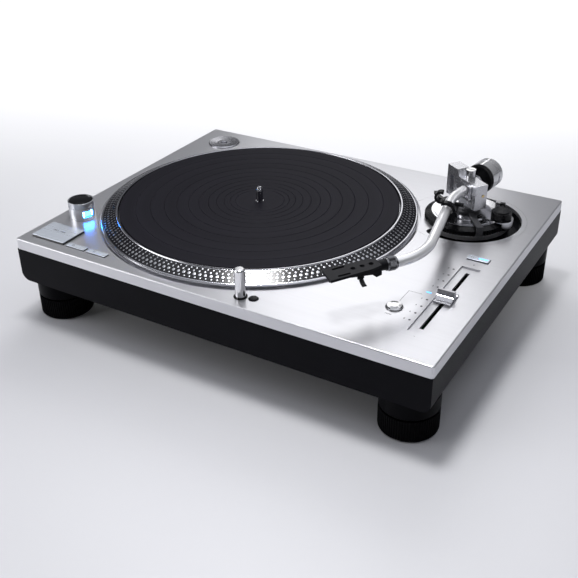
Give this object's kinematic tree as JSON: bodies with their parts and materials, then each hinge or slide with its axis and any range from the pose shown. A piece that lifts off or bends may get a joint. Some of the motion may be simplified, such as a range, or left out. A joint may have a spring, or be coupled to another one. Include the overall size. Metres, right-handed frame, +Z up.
{
  "type": "turntable",
  "caption": "direct-drive turntable with a brushed silver top, black cabinet, S-shaped arm in a gimbal, strobe-dot platter, pitch slider and round feet",
  "frame": {"origin": "centre of the chassis outline, on the surface it stands on", "axes": "X right towards the arm, Y to the back, Z up"},
  "size_m": [0.453, 0.353, 0.1439],
  "materials": {
    "panel_metal": "brushed",
    "cabinet_black": "matt",
    "black_gloss": "gloss",
    "black_plastic": "satin",
    "steel": "satin",
    "copper": "lacquered",
    "board_plastic": "matt",
    "core_iron": "matt",
    "gold": "polished",
    "chrome": "polished",
    "chrome_cap": "polished",
    "glass": "clear",
    "platter_metal": "turned",
    "mat_rubber": "matt",
    "button_metal": "brushed",
    "lamp_metal": "polished",
    "slider_metal": "satin",
    "black_metal": "anodised",
    "satin_metal": "satin",
    "tube_metal": "polished",
    "weight_metal": "polished",
    "foot_rubber": "matt"
  },
  "bodies": {
    "chassis": {"top_panel": "panel_metal", "arm_panel": "panel_metal", "arm_bowl": "black_gloss", "cabinet": "cabinet_black", "bottom_cover": "cabinet_black", "cover_screws": "steel", "motor_plate": "steel", "bearing_housing": "steel", "motor_stator": "core_iron", "stator_coils": "copper", "circuit_board": "board_plastic", "transformer": "core_iron", "terminal_panel": "black_plastic", "phono_jacks": "gold", "ground_post": "steel", "mains_inlet": "black_plastic", "strobe_housing": "chrome", "strobe_window": "glass", "light_sleeve": "black_plastic"},
    "platter_body": {"platter": "platter_metal", "platter_mat": "mat_rubber", "spindle": "steel", "rotor_magnet": "core_iron"},
    "power_knob_body": {"power_knob": "chrome_cap"},
    "start_stop_button_body": {"start_stop_button": "button_metal"},
    "speed_33_button_body": {"speed_33_button": "button_metal"},
    "speed_45_button_body": {"speed_45_button": "button_metal"},
    "range_button_body": {"range_button": "button_metal"},
    "reset_button_body": {"reset_button": "chrome_cap"},
    "light_button_body": {"light_button": "black_plastic"},
    "target_light_body": {"target_light": "lamp_metal"},
    "pitch_knob_body": {"pitch_knob": "slider_metal"},
    "single_adapter_body": {"single_adapter": "platter_metal"},
    "height_ring_body": {"height_ring": "black_metal"},
    "arm_base_body": {"arm_base": "satin_metal", "gimbal_frame": "satin_metal", "pivot_screw": "chrome_cap", "arm_rest": "black_plastic"},
    "lift_bar_body": {"lift_bar": "black_metal"},
    "cue_lever_body": {"cue_lever": "black_plastic"},
    "lock_lever_body": {"lock_lever": "black_plastic"},
    "arm_clip_body": {"arm_clip": "black_plastic"},
    "anti_skate_dial_body": {"anti_skate_dial": "black_plastic"},
    "gimbal_ring_body": {"gimbal_ring": "satin_metal"},
    "arm_tube_body": {"arm_tube": "tube_metal"},
    "locking_collar_body": {"locking_collar": "black_metal"},
    "headshell_body": {"headshell": "black_metal", "finger_lift": "black_plastic"},
    "weight_sleeve_body": {"weight_sleeve": "satin_metal"},
    "counterweight_body": {"counterweight": "weight_metal"},
    "weight_dial_body": {"weight_dial": "black_plastic"},
    "foot_cap_front_left_body": {"foot_cap_front_left": "black_plastic"},
    "foot_base_front_left_body": {"foot_base_front_left": "foot_rubber"},
    "foot_cap_front_right_body": {"foot_cap_front_right": "black_plastic"},
    "foot_base_front_right_body": {"foot_base_front_right": "foot_rubber"},
    "foot_cap_rear_left_body": {"foot_cap_rear_left": "black_plastic"},
    "foot_base_rear_left_body": {"foot_base_rear_left": "foot_rubber"},
    "foot_cap_rear_right_body": {"foot_cap_rear_right": "black_plastic"},
    "foot_base_rear_right_body": {"foot_base_rear_right": "foot_rubber"}
  },
  "joints": [
    {"name": "platter_spin", "type": "hinge", "parent": "chassis", "child": "platter_body", "pos_m": [-0.047, 0.001, 0.087], "axis": [0, 0, 1], "continuous": true},
    {"name": "power_turn", "type": "hinge", "parent": "chassis", "child": "power_knob_body", "pos_m": [-0.202, -0.104, 0.1], "axis": [0, 0, 1], "range_deg": [0, 35]},
    {"name": "start_stop_button_press", "type": "slide", "parent": "chassis", "child": "start_stop_button_body", "axis": [0, 0, -1], "range_m": [0, 0.0015], "stiffness_N_per_m": 500, "springref_m": -0.0012},
    {"name": "speed_33_button_press", "type": "slide", "parent": "chassis", "child": "speed_33_button_body", "axis": [0, 0, -1], "range_m": [0, 0.0015], "stiffness_N_per_m": 500, "springref_m": -0.0012},
    {"name": "speed_45_button_press", "type": "slide", "parent": "chassis", "child": "speed_45_button_body", "axis": [0, 0, -1], "range_m": [0, 0.0015], "stiffness_N_per_m": 500, "springref_m": -0.0012},
    {"name": "range_button_press", "type": "slide", "parent": "chassis", "child": "range_button_body", "axis": [0, 0, -1], "range_m": [0, 0.0015], "stiffness_N_per_m": 500, "springref_m": -0.0012},
    {"name": "reset_button_press", "type": "slide", "parent": "chassis", "child": "reset_button_body", "axis": [0, 0, -1], "range_m": [0, 0.0015], "stiffness_N_per_m": 500, "springref_m": -0.0012},
    {"name": "light_button_press", "type": "slide", "parent": "chassis", "child": "light_button_body", "axis": [0, 0, -1], "range_m": [0, 0.0015], "stiffness_N_per_m": 500, "springref_m": -0.0012},
    {"name": "target_light_press", "type": "slide", "parent": "chassis", "child": "target_light_body", "axis": [0, 0, -1], "range_m": [0, 0.028], "stiffness_N_per_m": 30, "springref_m": -0.01},
    {"name": "pitch_slide", "type": "slide", "parent": "chassis", "child": "pitch_knob_body", "axis": [0, 1, 0], "range_m": [-0.045, 0.045]},
    {"name": "adapter_lift", "type": "slide", "parent": "chassis", "child": "single_adapter_body", "axis": [0, 0, 1], "range_m": [0, 0.03]},
    {"name": "height_turn", "type": "hinge", "parent": "chassis", "child": "height_ring_body", "pos_m": [0.152, 0.0874, 0.091], "axis": [0, 0, 1], "range_deg": [0, 300]},
    {"name": "height_lift", "type": "slide", "parent": "chassis", "child": "arm_base_body", "axis": [0, 0, 1], "range_m": [0, 0.006]},
    {"name": "arm_swing", "type": "hinge", "parent": "arm_base_body", "child": "gimbal_ring_body", "pos_m": [0.152, 0.0874, 0.123], "axis": [0, 0, -1], "range_deg": [0, 46]},
    {"name": "arm_tilt", "type": "hinge", "parent": "gimbal_ring_body", "child": "arm_tube_body", "pos_m": [0.152, 0.0874, 0.123], "axis": [-0.8192, 0.5736, 0], "range_deg": [0, 2]},
    {"name": "lift_rise", "type": "slide", "parent": "arm_base_body", "child": "lift_bar_body", "axis": [0, 0, 1], "range_m": [0, 0.0013]},
    {"name": "cue_turn", "type": "hinge", "parent": "arm_base_body", "child": "cue_lever_body", "pos_m": [0.1775, 0.1074, 0.0999], "axis": [-0.9781, -0.2079, 0], "range_deg": [0, 36]},
    {"name": "lock_turn", "type": "hinge", "parent": "arm_base_body", "child": "lock_lever_body", "pos_m": [0.152, 0.0874, 0.098], "axis": [0, 0, 1], "range_deg": [0, 18]},
    {"name": "clip_turn", "type": "hinge", "parent": "arm_base_body", "child": "arm_clip_body", "pos_m": [0.16212, 0.02176, 0.123], "axis": [-0.1958, 0.9806, 0], "range_deg": [0, 100]},
    {"name": "anti_skate_turn", "type": "hinge", "parent": "arm_base_body", "child": "anti_skate_dial_body", "pos_m": [0.189, 0.084, 0.099], "axis": [0, 0, 1], "range_deg": [0, 300]},
    {"name": "collar_turn", "type": "hinge", "parent": "arm_tube_body", "child": "locking_collar_body", "pos_m": [0.1513, -0.0994, 0.123], "axis": [-0.609, -0.7932, 0], "range_deg": [0, 60]},
    {"name": "headshell_pull", "type": "slide", "parent": "arm_tube_body", "child": "headshell_body", "axis": [-0.609, -0.7932, 0], "range_m": [0, 0.012]},
    {"name": "weight_slide", "type": "slide", "parent": "arm_tube_body", "child": "weight_sleeve_body", "axis": [0.1247, 0.9922, 0], "range_m": [-0.0025, 0.01]},
    {"name": "weight_turn", "type": "hinge", "parent": "weight_sleeve_body", "child": "counterweight_body", "pos_m": [0.15612, 0.12014, 0.123], "axis": [0.1247, 0.9922, 0], "range_deg": [-360, 1440]},
    {"name": "weight_dial_turn", "type": "hinge", "parent": "counterweight_body", "child": "weight_dial_body", "pos_m": [0.15443, 0.10675, 0.123], "axis": [0.1247, 0.9922, 0], "range_deg": [0, 330]},
    {"name": "foot_drop_front_left", "type": "slide", "parent": "chassis", "child": "foot_cap_front_left_body", "axis": [0, 0, -1], "range_m": [0, 0.008]},
    {"name": "foot_turn_front_left", "type": "hinge", "parent": "foot_cap_front_left_body", "child": "foot_base_front_left_body", "pos_m": [-0.197, -0.149, 0.01], "axis": [0, 0, 1], "range_deg": [0, 900]},
    {"name": "foot_drop_front_right", "type": "slide", "parent": "chassis", "child": "foot_cap_front_right_body", "axis": [0, 0, -1], "range_m": [0, 0.008]},
    {"name": "foot_turn_front_right", "type": "hinge", "parent": "foot_cap_front_right_body", "child": "foot_base_front_right_body", "pos_m": [0.197, -0.149, 0.01], "axis": [0, 0, 1], "range_deg": [0, 900]},
    {"name": "foot_drop_rear_left", "type": "slide", "parent": "chassis", "child": "foot_cap_rear_left_body", "axis": [0, 0, -1], "range_m": [0, 0.008]},
    {"name": "foot_turn_rear_left", "type": "hinge", "parent": "foot_cap_rear_left_body", "child": "foot_base_rear_left_body", "pos_m": [-0.197, 0.149, 0.01], "axis": [0, 0, 1], "range_deg": [0, 900]},
    {"name": "foot_drop_rear_right", "type": "slide", "parent": "chassis", "child": "foot_cap_rear_right_body", "axis": [0, 0, -1], "range_m": [0, 0.008]},
    {"name": "foot_turn_rear_right", "type": "hinge", "parent": "foot_cap_rear_right_body", "child": "foot_base_rear_right_body", "pos_m": [0.197, 0.149, 0.01], "axis": [0, 0, 1], "range_deg": [0, 900]}
  ],
  "couplings": [
    {"joint": "height_lift", "follows": "height_turn", "m_per_rad": 0.0011459},
    {"joint": "lift_rise", "follows": "arm_tilt", "m_per_rad": 0.034},
    {"joint": "cue_turn", "follows": "arm_tilt", "ratio": 17},
    {"joint": "weight_turn", "follows": "weight_slide", "rad_per_m": 2513.2},
    {"joint": "foot_turn_front_left", "follows": "foot_drop_front_left", "rad_per_m": 1963.4},
    {"joint": "foot_turn_front_right", "follows": "foot_drop_front_right", "rad_per_m": 1963.4},
    {"joint": "foot_turn_rear_left", "follows": "foot_drop_rear_left", "rad_per_m": 1963.4},
    {"joint": "foot_turn_rear_right", "follows": "foot_drop_rear_right", "rad_per_m": 1963.4}
  ]
}
